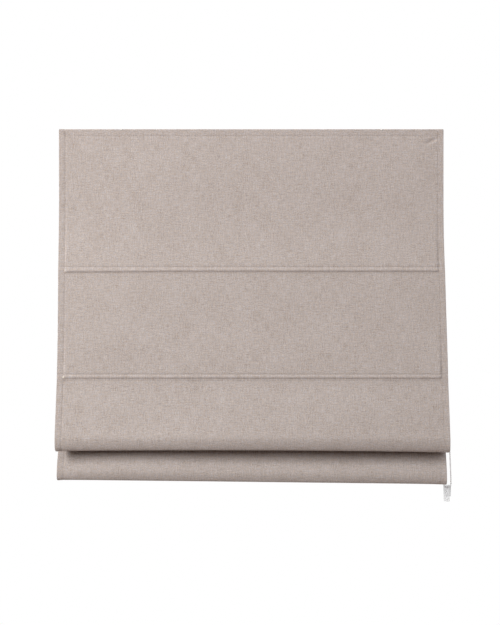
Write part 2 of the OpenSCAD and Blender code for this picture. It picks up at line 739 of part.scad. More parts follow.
module chain_run(ends) {
    length = norm(ends[1] - ends[0]);
    step = run_step(ends);
    color(white_plastic) aim(ends[0], ends[1]) rotate_extrude($fn = 24) intersection() {
        translate([0, step / 2]) square([bead_d, length - step]);
        union() {
            translate([-1, 0]) square([1 + thread_r, length]);
            for (i = [1:round(length / step) - 1]) translate([0, i * step]) circle(bead_r, $fn = 24);
        }
    }
}

// Thread from one bead to the next
module thread(p, q) {
    aim(p, q) cylinder(r = thread_r, h = norm(q - p), $fn = 24);
}

module chain_bend(beads, half_links) {
    color(white_plastic) union() {
        for (p = beads) translate(p) sphere(bead_r, $fn = 24);
        for (i = [0:len(beads) - 2]) thread(beads[i], beads[i + 1]);
        for (h = half_links) thread(h[0], h[1]);
    }
}

// The half link between a run's end bead and the run
function half_link(ends, at) = let (w = unit(ends[1] - ends[0]) * run_step(ends) / 2)
    at == 0 ? [ends[0], ends[0] + w] : [ends[1], ends[1] - w];

module chain_drive_bend() {
    chain_bend([for (a = [0:360 / pockets:180]) drive_bead(a)],
        [half_link(front_ends, 0), half_link(rear_ends, 0)]);
}

module chain_lower_bend() {
    chain_bend([for (a = [180:360 / pockets:360]) lower_bead(a)],
        [half_link(front_ends, 1), half_link(rear_ends, 1)]);
}

// Snap barrel that closes the loop round two beads of the rear run
module chain_connector() {
    step = run_step(rear_ends);
    wall = 0.9;
    length = 2 * step + wall;
    from = 20.5 * step - wall / 2;
    color(clear_plastic) aim(rear_ends[0], rear_ends[1]) translate([0, 0, from]) difference() {
        cylinder(r = bead_r + fit + wall, h = length);
        translate([0, 0, wall]) cylinder(r = bead_r + fit, h = length - 2 * wall);
        translate([0, 0, -1]) cylinder(r = thread_r + fit, h = length + 2);
    }
}

// Tensioner: a tapered plate on the wall, a chain groove in its upper part and a cover on that
tensioner_top = bend_c[2] - 5.5;
block_h = 33;
block_front = chain_y - bead_r - groove_room;
tensioner_cover_t = 1.8;
upper_hole_z = tensioner_top - 18.5;

// Outline of the tensioner from its top edge down, in X and Z, with round lower corners
module tensioner_outline(h, r) {
    half = tensioner_w / 2;
    foot = lerp(tensioner_w, tensioner_foot_w, h / tensioner_h) / 2;
    low = tensioner_top - h;
    translate([bend_c[0], 0]) polygon(concat([[half, tensioner_top], [-half, tensioner_top]],
        arc([r - foot, low + r], r, 180, 270, 6), arc([foot - r, low + r], r, 270, 360, 6)));
}

// Extrudes a section drawn in X and Z along Y
module along_y(y0, y1) {
    translate([0, y1, 0]) rotate([90, 0, 0]) linear_extrude(y1 - y0) children();
}

module tensioner_holes() {
    for (z = [upper_hole_z, upper_hole_z - tensioner_pitch])
        translate([bend_c[0], 1, z]) rotate([90, 0, 0]) cylinder(d = tensioner_hole_d, h = 20);
}

module tensioner_base() {
    groove_w = bead_d + 2 * groove_room;
    color(clear_plastic) difference() {
        union() {
            along_y(-plate_t, 0) tensioner_outline(tensioner_h, 3);
            along_y(block_front, -plate_t + 0.5) tensioner_outline(block_h, 2);
            along_y(-plate_t - 1, -plate_t + 0.5)
                translate([bend_c[0], upper_hole_z - tensioner_pitch]) circle(d = tensioner_hole_d + 5);
        }
        along_y(block_front - 1, chain_y + bead_r + groove_room)
            translate([bend_c[0], bend_c[2]]) difference() {
                circle(pitch_r + groove_w / 2);
                circle(pitch_r - groove_w / 2);
            }
        tensioner_holes();
    }
}

module tensioner_cover() {
    color(clear_plastic) difference() {
        along_y(block_front - tensioner_cover_t, block_front) tensioner_outline(block_h, 2);
        tensioner_holes();
    }
}

bracket(-bracket_spacing / 2);  // bracket_left
bracket(bracket_spacing / 2);  // bracket_right
lever(-bracket_spacing / 2);  // lever_left
lever(bracket_spacing / 2);  // lever_right
headrail();
end_cap();
hook_tape();
loop_tape();
drive_housing();
drive_cover();
sprocket();
brake_spring();
drive_shaft();
shaft_bush();
cradle(cord_x[0]);  // cradle_left
cradle(cord_x[1]);  // cradle_middle
cradle(cord_x[2]);  // cradle_right
spool(cord_x[0]);  // spool_left
spool(cord_x[1]);  // spool_middle
spool(cord_x[2]);  // spool_right
winding(cord_x[0]);  // winding_left
winding(cord_x[1]);  // winding_middle
winding(cord_x[2]);  // winding_right
lift_cord(cord_x[0]);  // lift_cord_left
lift_cord(cord_x[1]);  // lift_cord_middle
lift_cord(cord_x[2]);  // lift_cord_right
cord_stops();
fabric();
pocket_tape(1);  // pocket_tape_1
pocket_tape(2);  // pocket_tape_2
pocket_tape(3);  // pocket_tape_3
pocket_tape(4);  // pocket_tape_4
rod(1);  // rod_1
rod(2);  // rod_2
rod(3);  // rod_3
rod(4);  // rod_4
rings(1);  // rings_1
rings(2);  // rings_2
rings(3);  // rings_3
rings(4);  // rings_4
weight_bar();
chain_run(front_ends);  // chain_front_run
chain_run(rear_ends);  // chain_rear_run
chain_drive_bend();
chain_lower_bend();
chain_connector();
tensioner_base();
tensioner_cover();
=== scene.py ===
"""Roman blind, partly raised, in greige linen-look cloth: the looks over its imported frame."""

import math
from bisect import bisect_right

import bpy
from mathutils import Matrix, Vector, noise


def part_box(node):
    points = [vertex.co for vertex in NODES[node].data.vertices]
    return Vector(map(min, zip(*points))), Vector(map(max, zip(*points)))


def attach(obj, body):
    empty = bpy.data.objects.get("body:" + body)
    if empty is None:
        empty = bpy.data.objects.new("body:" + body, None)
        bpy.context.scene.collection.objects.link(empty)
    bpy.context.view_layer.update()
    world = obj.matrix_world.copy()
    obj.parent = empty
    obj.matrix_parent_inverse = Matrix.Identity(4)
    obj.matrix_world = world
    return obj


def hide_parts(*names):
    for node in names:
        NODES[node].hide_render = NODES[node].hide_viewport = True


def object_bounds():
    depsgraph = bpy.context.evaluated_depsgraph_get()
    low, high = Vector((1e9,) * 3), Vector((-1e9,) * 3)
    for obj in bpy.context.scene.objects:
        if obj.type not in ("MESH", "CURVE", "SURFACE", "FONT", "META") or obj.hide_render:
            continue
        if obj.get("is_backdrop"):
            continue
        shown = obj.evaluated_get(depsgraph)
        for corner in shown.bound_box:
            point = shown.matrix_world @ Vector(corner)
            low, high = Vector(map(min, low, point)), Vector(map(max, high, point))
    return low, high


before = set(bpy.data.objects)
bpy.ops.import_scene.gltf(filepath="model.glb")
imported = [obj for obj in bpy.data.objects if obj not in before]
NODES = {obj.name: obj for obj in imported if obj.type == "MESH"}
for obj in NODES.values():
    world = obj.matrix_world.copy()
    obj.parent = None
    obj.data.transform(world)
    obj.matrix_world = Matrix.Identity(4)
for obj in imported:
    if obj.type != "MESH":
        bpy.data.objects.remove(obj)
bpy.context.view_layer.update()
bpy.ops.object.select_all(action="DESELECT")

MM = 0.001
SIDES = ("left", "middle", "right")
RODS = (1, 2, 3, 4)
RIDGE_RODS = (1, 2)
SHARP_EDGE = math.radians(50)


def centre_of(node):
    """Middle of a CAD node's box."""
    low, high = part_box(node)
    return (low + high) / 2


def nodes(*names):
    """CAD nodes by their names."""
    return [NODES[name] for name in names]


def make_active(piece):
    """Selects one piece alone, for the operators that follow."""
    bpy.ops.object.select_all(action="DESELECT")
    piece.select_set(True)
    bpy.context.view_layer.objects.active = piece
    return piece


def apply_modifier(piece, kind, **settings):
    """Adds a modifier with its settings and applies it."""
    modifier = piece.modifiers.new(kind.lower(), kind)
    for name, value in settings.items():
        setattr(modifier, name, value)
    make_active(piece)
    bpy.ops.object.modifier_apply(modifier=modifier.name)
    return piece


def smooth(piece):
    """Smooth shading, with the sharp edges kept."""
    make_active(piece)
    bpy.ops.object.shade_smooth_by_angle(angle=SHARP_EDGE)


def join(pieces, name):
    """Joins several pieces into the first, under one name."""
    make_active(pieces[0])
    for piece in pieces:
        piece.select_set(True)
    bpy.ops.object.join()
    joined = bpy.context.object
    joined.name = name
    joined.data.name = name
    return joined


def ease(t):
    """Smooth step from 0 to 1."""
    t = min(max(t, 0.0), 1.0)
    return t * t * (3 - 2 * t)


def hump(distance, reach):
    """Smooth hump: 1 in its middle, 0 from its reach on."""
    return 1 - ease(abs(distance) / reach)


# Camera: square to the wall, at the height and distance that the cloth's outline in the photograph gives
CAMERA_PLACE = (-0.0036, -2.246, -0.5299)
CAMERA_LENS = 42.39
SENSOR = 36

bpy.ops.object.camera_add(location=CAMERA_PLACE, rotation=(math.pi / 2, 0, 0))
camera = bpy.context.object
camera.data.sensor_fit = "VERTICAL"
camera.data.sensor_width = SENSOR
camera.data.sensor_height = SENSOR
camera.data.lens = CAMERA_LENS
bpy.context.scene.camera = camera

# Lift cords: taut from the spools through the rings to their stops, each with a knot under its stop
CORD_D = 1.4 * MM
RAIL_EXIT_Z = -15.5 * MM
RING_EASE = 5 * MM
KNOT_D = 0.9 * CORD_D
KNOT_SCALE = 0.62 * MM
KNOT_DEPTH = 1.6
KNOT_DROP = 1.7 * MM
KNOT_POINTS = 36


def make_cord(name, points, thickness, closed=False):
    """A round cord along its points: a curve of one spline, made a mesh tube."""
    data = bpy.data.curves.new(name, "CURVE")
    data.dimensions = "3D"
    data.bevel_depth = thickness / 2
    data.bevel_resolution = 3
    data.use_fill_caps = True
    spline = data.splines.new("POLY")
    spline.points.add(len(points) - 1)
    for spot, point in zip(spline.points, points):
        spot.co = (*point, 1)
    spline.use_cyclic_u = closed
    spline.use_smooth = True
    piece = bpy.data.objects.new(name, data)
    bpy.context.scene.collection.objects.link(piece)
    make_active(piece)
    bpy.ops.object.convert(target="MESH")
    bpy.ops.object.shade_smooth()
    return bpy.context.object


def cord_points(side):
    """The cord's route: off the spool, out of the rail, through the four rings, down to its stop's foot."""
    low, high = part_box("lift_cord_" + side)
    x = (low.x + high.x) / 2
    top_y = high.y - CORD_D / 2
    rings = [centre_of(f"rings_{k}") for k in RODS]
    corners = [Vector((x, top_y, high.z)), Vector((x, top_y, RAIL_EXIT_Z))]
    corners += [Vector((x, ring.y, ring.z)) for ring in rings]
    corners.append(Vector((x, rings[-1].y, low.z)))
    points = [corners[0]]
    for before, corner, after in zip(corners, corners[1:], corners[2:]):
        come = (before - corner).normalized() * RING_EASE
        leave = (after - corner).normalized() * RING_EASE
        for t in (0.0, 0.25, 0.5, 0.75, 1.0):
            points.append(corner + come * (1 - t) ** 2 + leave * t**2)
    points.append(corners[-1])
    return points


def knot_points(foot):
    """An overhand knot pulled tight just under the stop."""
    points = []
    for i in range(KNOT_POINTS):
        t = 2 * math.pi * i / KNOT_POINTS
        shape = Vector(
            (
                math.sin(t) + 2 * math.sin(2 * t),
                math.cos(t) - 2 * math.cos(2 * t),
                -KNOT_DEPTH * math.sin(3 * t),
            )
        )
        points.append(foot - Vector((0, 0, KNOT_DROP)) + shape * KNOT_SCALE)
    return points


lift_cords = []
knots = []
for side in SIDES:
    route = cord_points(side)
    lift_cord = make_cord("cord_" + side, route, CORD_D)
    knot = make_cord("knot_" + side, knot_points(route[-1]), KNOT_D, closed=True)
    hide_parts("lift_cord_" + side)
    for piece in (lift_cord, knot):
        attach(piece, "blind")
    lift_cords.append(lift_cord)
    knots.append(knot)

# Cloth line in mm, close to the frame's folded sheet: how far forward of its top edge, and how high
HALF_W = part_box("fabric")[1].x / MM
TOP_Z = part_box("fabric")[1].z / MM
CLOTH_T = 1.0
TURN_R = 0.7
SIDE_HEM = 17
TOP_HEM = 23
BOTTOM_HEM = 28
HEM_GAP = 1
FLAT_HALF = HALF_W - CLOTH_T / 2 - TURN_R
INSIDE_HEMS = HALF_W - SIDE_HEM - HEM_GAP
SHEET_Y = -45.7
LINE_STEP = 2
ROD_Z = (-404.4, -720.4)
ROD_LEAN = (13, 38.5)
LEAN_START = 210
PANEL_SAG = 1.6
ARCH_3 = (Vector((12, -864.4)), 5)
ARCH_4 = (Vector((-2.5, -916.4)), 5)
HEM_TURN = (Vector((-9.7, -1015.7)), 2.2)
FRONT_FOOT = (49.0, -931.3)
LOWER_FOOT = (22.3, -1029.9)
# Spots of the two loops of cloth, from the second rod to the third and from the third to the fourth
FRONT_LOOP = (
    (35.0, -687), (38.5, -720.4), (41.4, -748), (46.6, -785), (52.4, -825), (58.5, -868), (61.6, -885),
    (62.8, -893), (62.9, -901), (61.8, -909), (59.9, -917), (57.6, -923.5), (54.4, -929.0), FRONT_FOOT,
    (43.4, -929.7), (38.4, -925), (33.0, -915.5), (28.2, -905), (23.5, -889), (19.0, -874.5), (17.0, -864.4),
    (17.0, -858),
)
LOWER_LOOP = (
    (7.0, -858), (7.0, -864.4), (7.4, -880), (9.2, -905), (13.8, -928), (19.0, -945), (24.0, -962),
    (28.6, -980), (31.5, -994), (32.6, -1003), (32.0, -1011.5), (30.0, -1019), (27.2, -1026.2),
    LOWER_FOOT, (17.0, -1028.2), (12.0, -1021), (8.2, -1008), (4.9, -980), (2.9, -940), (2.5, -916.4),
    (2.5, -910),
)


def polar(centre, radius, degrees):
    """A spot on a circle."""
    angle = math.radians(degrees)
    return centre + radius * Vector((math.cos(angle), math.sin(angle)))


def arc(circle, start, end, step=3):
    """Points round a circle, angles in degrees."""
    count = max(2, round(abs(end - start) / step))
    return [polar(*circle, start + (end - start) * i / count) for i in range(count + 1)]


def loop_through(spots, step=1.2):
    """A smooth line through spots; the first and the last only give its direction there."""
    spots = [Vector(spot) for spot in spots]
    line = [spots[1]]
    for before, a, b, after in zip(spots, spots[1:], spots[2:], spots[3:]):
        span = (b - a).length
        leave = (b - before).normalized() * span
        arrive = (after - a).normalized() * span
        count = max(2, round(span / step))
        for i in range(1, count + 1):
            t = i / count
            line.append(
                a * (1 + 2 * t) * (1 - t) ** 2 + leave * t * (1 - t) ** 2
                + b * t * t * (3 - 2 * t) - arrive * t * t * (1 - t)
            )
    return line


def sheet_f(z):
    """Forward place of the front sheet at a height, down to the second rod."""
    if z > ROD_Z[0] + LEAN_START:
        return 0.0
    if z > ROD_Z[0]:
        return ROD_LEAN[0] * ((ROD_Z[0] + LEAN_START - z) / LEAN_START) ** 2
    t = (ROD_Z[0] - z) / (ROD_Z[0] - ROD_Z[1])
    return ROD_LEAN[0] + (ROD_LEAN[1] - ROD_LEAN[0]) * t - PANEL_SAG * math.sin(math.pi * t)


def cloth_line():
    """Middle line of the folded cloth, from the turned top hem to the turned bottom hem."""
    top_turn = (Vector((-TURN_R, TOP_Z - CLOTH_T / 2 - TURN_R)), TURN_R)
    line = [Vector((-2 * TURN_R, TOP_Z - TOP_HEM))]
    line += arc(top_turn, 180, 0, step=15)
    z = top_turn[0].y - LINE_STEP
    while z > ROD_Z[1] + LINE_STEP / 2:
        line.append(Vector((sheet_f(z), z)))
        z -= LINE_STEP
    line += loop_through(FRONT_LOOP)
    line += arc(ARCH_3, 0, 180)[1:]
    line += loop_through(LOWER_LOOP)[1:]
    line += arc(ARCH_4, 0, 180)[1:]
    line += arc(HEM_TURN, 0, -180, step=10)
    line.append(HEM_TURN[0] + Vector((-HEM_TURN[1], BOTTOM_HEM)))
    return line


LINE = cloth_line()
RUN = [0.0]
for here, there in zip(LINE, LINE[1:]):
    RUN.append(RUN[-1] + (there - here).length)
NORMALS = []
for i in range(len(LINE)):
    along = (LINE[min(i + 1, len(LINE) - 1)] - LINE[max(i - 1, 0)]).normalized()
    NORMALS.append(Vector((-along.y, along.x)))
CLOTH_LEN = RUN[-1]


def run_at(spot, first=0.0, last=CLOTH_LEN):
    """Length along the cloth of the place nearest to a spot, within a stretch."""
    best = min(
        (i for i in range(len(LINE)) if first <= RUN[i] <= last),
        key=lambda i: (LINE[i] - spot).length,
    )
    return RUN[best]


V_TOP = run_at(Vector((0, TOP_Z)))
V_ROD_1 = run_at(Vector((ROD_LEAN[0], ROD_Z[0])))
V_ROD_2 = run_at(Vector((ROD_LEAN[1], ROD_Z[1])))
V_FRONT = run_at(Vector(FRONT_FOOT), V_ROD_2)
V_ARCH_3 = run_at(polar(*ARCH_3, 90), V_FRONT)
V_LOWER = run_at(Vector(LOWER_FOOT), V_ARCH_3)
V_ARCH_4 = run_at(polar(*ARCH_4, 90), V_LOWER)
V_HEM = run_at(polar(*HEM_TURN, -90), V_ARCH_4)

# How the real cloth departs from that line. Ridge over a sewn rod: heights and lengths down the cloth
RIDGE = 2.1
SWELL = 1.5
SWELL_UP = 190
RIDGE_UP = 7
RIDGE_FLAT = 0.9
RIDGE_FOOT = 6.9
SWELL_OUT = 120
CREASE = 0.4
RIDGE_FADE = 6
# Each ridge's place down the cloth, its droop at the left hem, and its slant towards the left
RIDGES = ((V_ROD_1, 5, 1.8), (V_ROD_2 - 1.2, 2, 0))
DROOP_START = 8
DROOP_RUN = 10
SLANT_START = 200
SLANT_RUN = 300
# Ripples below each ridge: its place and their height, then how they grow, end and vary, and their seed
RIPPLES = ((V_ROD_1, 0.4), (V_ROD_2, 0.9))
RIPPLE_GROW = 8
RIPPLE_END = 60
RIPPLE_ACROSS = 0.028
RIPPLE_DOWN = 0.008
RIPPLE_SEED = 5.3
# Belly of each loop: how far it reaches, where it starts, and the loop's foot, then its shape round that foot
BELLIES = ((5.0, V_ROD_2, V_FRONT), (3.5, V_ARCH_3, V_LOWER))
BELLY_FULL = 28
BELLY_KEPT = 5
BELLY_END = 60
BELLY_POWER = 3
# Full ends of the two folds: middle and reach of each down the cloth
FULL_END = 3.0
FULL_END_POWER = 12
FULL_ENDS = ((V_FRONT - 14, 24), (V_LOWER - 11, 20))
# Hang of the two folds: start, foot and end of each, its tilt down to the right, and the droop of its ends
HANGS = ((V_ROD_2, V_FRONT, V_ARCH_3, 1.8, 4.4), (V_ARCH_3, V_LOWER, V_ARCH_4, 6.7, 0.6))
# Drawn-up corners of the front fold, drift to the right on the way down, and lean of the top hem
CORNER_LIFT = 1.8
CORNER_REACH = 5
CORNER_LONG = 60
SKEW = 3.7
LOWER_SKEW = 1.8
SKEW_START = 300
SKEW_RUN = 400
HEM_LEAN = 0.7
# Seams: the tapes' flanges and the lines of thread, and how deep the thread pulls the cloth down
TAPE_T = 0.6
TAPE_HALF = 6.75
FLANGE = 4.5
SEAM_OFF = TAPE_HALF + FLANGE / 2
STITCH_IN = 18.5
STITCH_TOP = 19
HEM_DIP_REACH = 5
TOP_DIP = 0.5
ROD_DIP = 0.8
ROD_DIP_REACH = 4
PUCKER = 0.25
PUCKER_RATE = 0.11
PUCKER_SEED = 3.7
# Each side hem's dip, and how far its edge flares forward
LEFT_HEM = (0.6, 0.7)
RIGHT_HEM = (0.1, 0.3)
# Packing crease in the top right corner
PACK_CREASE = (Vector((562, TOP_Z - 24)), Vector((516, TOP_Z - 47)))
PACK_CREASE_DEPTH = 2.1
PACK_CREASE_REACH = 9
# Waves of each panel: height, waves across the cloth, and phase
WAVES = ((1.1, 0.83, 0.4), (0.9, 1.57, 2.1), (0.5, 2.9, 4.4))
WAVE_SHIFT = 1.7


def ridge_height(s):
    """Height of the cloth over a sewn rod: a slow swell, a short rise below the seam, a drop to a crease."""
    if s < -SWELL_UP or s > SWELL_OUT:
        return 0.0
    if s < -RIDGE_UP:
        return SWELL * ease((s + SWELL_UP) / (SWELL_UP - RIDGE_UP))
    if s < 0:
        return SWELL + (RIDGE - SWELL) * ease(1 + s / RIDGE_UP)
    if s < RIDGE_FLAT:
        return RIDGE
    if s < RIDGE_FOOT:
        return RIDGE - (RIDGE + CREASE) * ease((s - RIDGE_FLAT) / (RIDGE_FOOT - RIDGE_FLAT))
    return -CREASE * (1 - ease((s - RIDGE_FOOT) / (SWELL_OUT - RIDGE_FOOT)))


def ripple(x, v):
    """Short soft ripples in the cloth that hangs straight below each seam."""
    for rod_v, height in RIPPLES:
        s = v - rod_v - RIDGE_FOOT
        if 0 < s < RIPPLE_END:
            wave = noise.noise((x * RIPPLE_ACROSS, v * RIPPLE_DOWN, RIPPLE_SEED))
            return height * wave * ease(s / RIPPLE_GROW) * (1 - ease(s / RIPPLE_END))
    return 0.0


def belly(x, v):
    """How much further the middle of each loop of cloth swings forward than its stiff hemmed ends."""
    for reach, start, foot in BELLIES:
        if start < v < foot + BELLY_END:
            grow = ease((v - start) / (foot - BELLY_FULL - start))
            fade = 1 - ease((v - foot - BELLY_KEPT) / (BELLY_END - BELLY_KEPT))
            return reach * (grow * fade) * (1 - (abs(x) / HALF_W) ** BELLY_POWER)
    return 0.0


def full_end(x, v):
    """How much fuller the stiff hemmed ends stand just above the foot of each fold."""
    near = max(hump(v - middle, reach) for middle, reach in FULL_ENDS)
    return FULL_END * near * (abs(x) / HALF_W) ** FULL_END_POWER


def foot_drop(x, v):
    """How much lower each fold hangs than in its middle: more to the right, and at both ends."""
    side = x / HALF_W
    for start, foot, end, tilt, droop in HANGS:
        if start < v < end:
            share = ease((v - start) / (foot - start)) * ease((end - v) / (end - foot))
            return (tilt * side + droop * side * side) * share
    return 0.0


def corner_lift(x, v):
    """How much the front fold's lower corners are drawn up, right at the cloth's edges."""
    edge = HALF_W - abs(x)
    if edge > CORNER_REACH:
        return 0.0
    return CORNER_LIFT * (1 - edge / CORNER_REACH) ** 2 * hump(v - V_FRONT, CORNER_LONG)


def panel_wave(x, v):
    """Slow unevenness of each panel between what holds it straight."""
    stops = (V_TOP, V_ROD_1, V_ROD_2, V_FRONT, V_ARCH_3, V_LOWER, V_ARCH_4, V_HEM)
    k = bisect_right(stops, v)
    if k == 0 or k == len(stops):
        return 0.0
    t = (v - stops[k - 1]) / (stops[k] - stops[k - 1])
    wave = sum(
        a * math.sin(2 * math.pi * n * x / (2 * HALF_W) + phase + WAVE_SHIFT * k)
        for a, n, phase in WAVES
    )
    return wave * math.sin(math.pi * t) ** 2


def seam_dip(x, v):
    """Shallow valleys where the thread pulls the hems and the seams down, with a small pucker along them."""
    dip = 0.0
    pucker = 1 - PUCKER + PUCKER * noise.noise((x * PUCKER_RATE, v * PUCKER_RATE, PUCKER_SEED))
    inside = abs(x) - HALF_W + STITCH_IN
    if inside > -HEM_DIP_REACH:
        pull, flare = LEFT_HEM if x < 0 else RIGHT_HEM
        dip += pull * hump(inside, HEM_DIP_REACH) * pucker
        dip -= flare * max(0.0, inside / STITCH_IN)
    dip += TOP_DIP * hump(v - V_TOP - STITCH_TOP, HEM_DIP_REACH) * pucker
    for rod_v in (V_ROD_1, V_ROD_2):
        dip += ROD_DIP * hump(v - rod_v + SEAM_OFF, ROD_DIP_REACH) * pucker
    return dip


def corner_crease(x, z):
    """Depth of the short slanting crease in the top right corner, left by the packing."""
    start, end = PACK_CREASE
    way = end - start
    off = Vector((x, z)) - start
    t = off.dot(way) / way.length_squared
    if not 0 < t < 1:
        return 0.0
    distance = (off.x * way.y - off.y * way.x) / way.length
    return PACK_CREASE_DEPTH * hump(distance, PACK_CREASE_REACH) * math.sin(math.pi * t)


def side_turn(u):
    """Place across the blind and depth behind the front layer, for a length across the cloth."""
    over = abs(u) - FLAT_HALF
    if over <= 0:
        return u, 0.0
    if over < math.pi * TURN_R:
        angle = over / TURN_R
        return math.copysign(FLAT_HALF + TURN_R * math.sin(angle), u), TURN_R * (1 - math.cos(angle))
    return math.copysign(FLAT_HALF - (over - math.pi * TURN_R), u), 2 * TURN_R


def skew(v):
    """How far the hanging cloth has drifted to the right of its rail, at a length down it."""
    if v < V_FRONT:
        return SKEW * ease((v - SKEW_START) / SKEW_RUN)
    if v < V_LOWER:
        return SKEW + (LOWER_SKEW - SKEW) * ease((v - V_FRONT) / (V_LOWER - V_FRONT))
    return LOWER_SKEW * ease((V_ARCH_4 - v) / (V_ARCH_4 - V_LOWER))


def cloth_spot(u, v, lift=0.0, ridged=True):
    """Place in metres of a spot on the cloth, u across and v down in mm, lifted towards the front."""
    i = min(max(bisect_right(RUN, v) - 1, 0), len(LINE) - 2)
    t = (v - RUN[i]) / (RUN[i + 1] - RUN[i])
    point = LINE[i].lerp(LINE[i + 1], t)
    normal = NORMALS[i].lerp(NORMALS[i + 1], t).normalized()
    x, depth = side_turn(u)
    rise = lift - depth
    if ridged:
        fade = 1 - ease((abs(x) - INSIDE_HEMS + RIDGE_FADE) / RIDGE_FADE)
        for rod_v, droop, slant in RIDGES:
            s = v - rod_v
            if -SWELL_UP < s < SWELL_OUT + droop:
                end_droop = droop * ease((-x - INSIDE_HEMS + DROOP_START) / DROOP_RUN)
                end_droop += slant * ease((-x - SLANT_START) / SLANT_RUN)
                rise += ridge_height(s - end_droop) * fade
    if V_TOP < v < V_HEM:
        rise += panel_wave(x, v) + ripple(x, v) - seam_dip(x, v) - corner_crease(x, point.y)
        rise += full_end(x, v)
        rise += HEM_LEAN * max(0.0, 1 - (v - V_TOP) / STITCH_TOP)
    spot = point + normal * rise
    spot.y += corner_lift(x, v) - foot_drop(x, v)
    if ridged:
        spot.x += belly(x, v)
        x += skew(v)
    return Vector((x, SHEET_Y - spot.x, spot.y)) * MM


def sheet_mesh(name, us, vs, place, keep=lambda u, v: True):
    """A sheet as a grid of quads, with a UV map in metres across and along the cloth."""
    mesh = bpy.data.meshes.new(name)
    wide = len(us)
    faces = []
    for j in range(len(vs) - 1):
        for i in range(wide - 1):
            if keep((us[i] + us[i + 1]) / 2, (vs[j] + vs[j + 1]) / 2):
                a = j * wide + i
                faces.append((a, a + wide, a + wide + 1, a + 1))
    mesh.from_pydata([place(u, v) for v in vs for u in us], [], faces)
    layer = mesh.uv_layers.new(name="weave")
    for loop in mesh.loops:
        j, i = divmod(loop.vertex_index, wide)
        layer.data[loop.index].uv = (us[i] * MM, -vs[j] * MM)
    piece = bpy.data.objects.new(name, mesh)
    bpy.context.scene.collection.objects.link(piece)
    make_active(piece)
    bpy.ops.object.mode_set(mode="EDIT")
    bpy.ops.mesh.select_all(action="SELECT")
    bpy.ops.mesh.delete_loose()
    bpy.ops.object.mode_set(mode="OBJECT")
    return piece


# Rows of the cloth's mesh: one for each pitch in mm or turn in degrees, and more in a few stretches,
# each with its place, its start before and its end after that place, and its pitch
ROW_PITCH = 12
ROW_TURN = 11
ROW_CHECK = 0.5
FINE_ROWS = ((V_ROD_1, -14, 16, 1.5), (V_ROD_2, -14, 16, 1.5), (V_TOP, 0, 54, 2.5))
# Columns from the middle to a side: where each stretch starts, its pitch and its count, then those of the hem
COLUMNS = ((0, 12.4, 41), (508.5, 3.5, 11), (550, 1.75, 13))
TURN_COLUMNS = 4
HEM_COLUMNS = 6
# Where the side hems stop, below the top edge and above the bottom one
SIDE_HEM_TOP = 1
SIDE_HEM_FOOT = 2.5


def rows_by_need():
    """Lengths along the cloth at which it gets a row: closer together on bends, over rods and in seams."""
    rows = [0.0]
    need = 0.0
    for i in range(1, len(LINE) - 1):
        step = RUN[i] - RUN[i - 1]
        parts = max(1, round(step / ROW_CHECK))
        turn = math.degrees(NORMALS[i - 1].angle(NORMALS[i]))
        for k in range(parts):
            v = RUN[i - 1] + step * (k + 1) / parts
            need += step / parts / ROW_PITCH + turn / parts / ROW_TURN
            for place, start, end, pitch in FINE_ROWS:
                if start < v - place < end:
                    need += step / parts / pitch
            if need >= 1:
                rows.append(v)
                need = 0.0
    rows.append(CLOTH_LEN)
    return rows


def columns_by_need():
    """Lengths across the cloth at which it gets a column: closer together in the side hems."""
    half = [start + pitch * i for start, pitch, count in COLUMNS for i in range(1, count + 1)]
    half += [FLAT_HALF + TURN_R * math.pi * i / TURN_COLUMNS for i in range(TURN_COLUMNS + 1)]
    turned = FLAT_HALF + TURN_R * math.pi
    half += [turned + SIDE_HEM * i / HEM_COLUMNS for i in range(1, HEM_COLUMNS + 1)]
    return [-u for u in reversed(half)] + [0.0] + half


def has_cloth(u, v):
    """Side hems stop short of the turned layers of the top and the bottom hem."""
    return abs(u) < FLAT_HALF or V_TOP + SIDE_HEM_TOP < v < V_HEM - SIDE_HEM_FOOT


cloth = sheet_mesh("cloth", columns_by_need(), rows_by_need(), cloth_spot, has_cloth)
apply_modifier(cloth, "SOLIDIFY", thickness=CLOTH_T * MM, offset=0, use_even_offset=True)
smooth(cloth)
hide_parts("fabric")
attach(cloth, "blind")

# Pocket tapes: each rod lies in a tunnel of tape, sewn down along both flanges
ROD_D = 5
TAPE_GAP = 0.2
TAPE_OFF = CLOTH_T / 2 + TAPE_GAP
RIDGE_TUNNEL = 2.7
ARCH_R = ARCH_3[1]
ARCH_HALF = ARCH_R * math.pi / 2
ARCH_A = ARCH_R + TAPE_OFF
ARCH_B = ARCH_A + ROD_D + TAPE_GAP
TAPE_STEPS = 28
TAPE_COLUMNS = 90


def ridge_tape_depth(w):
    """How far behind the cloth's middle a ridge's tape runs, at a length across the tape."""
    share = 1 - (w / TAPE_HALF) ** 2
    tunnel = RIDGE_TUNNEL * math.sqrt(share) if share > 0 else 0.0
    return TAPE_OFF + TAPE_T / 2 + tunnel


def arch_tape_depth(w):
    """How far outside the cloth's middle an arch's tape runs, at a length across the tape."""
    angle = min(abs(w) / ARCH_R, math.pi / 2)
    oval = ARCH_A * ARCH_B / math.hypot(ARCH_B * math.sin(angle), ARCH_A * math.cos(angle))
    return oval - ARCH_R + TAPE_T / 2


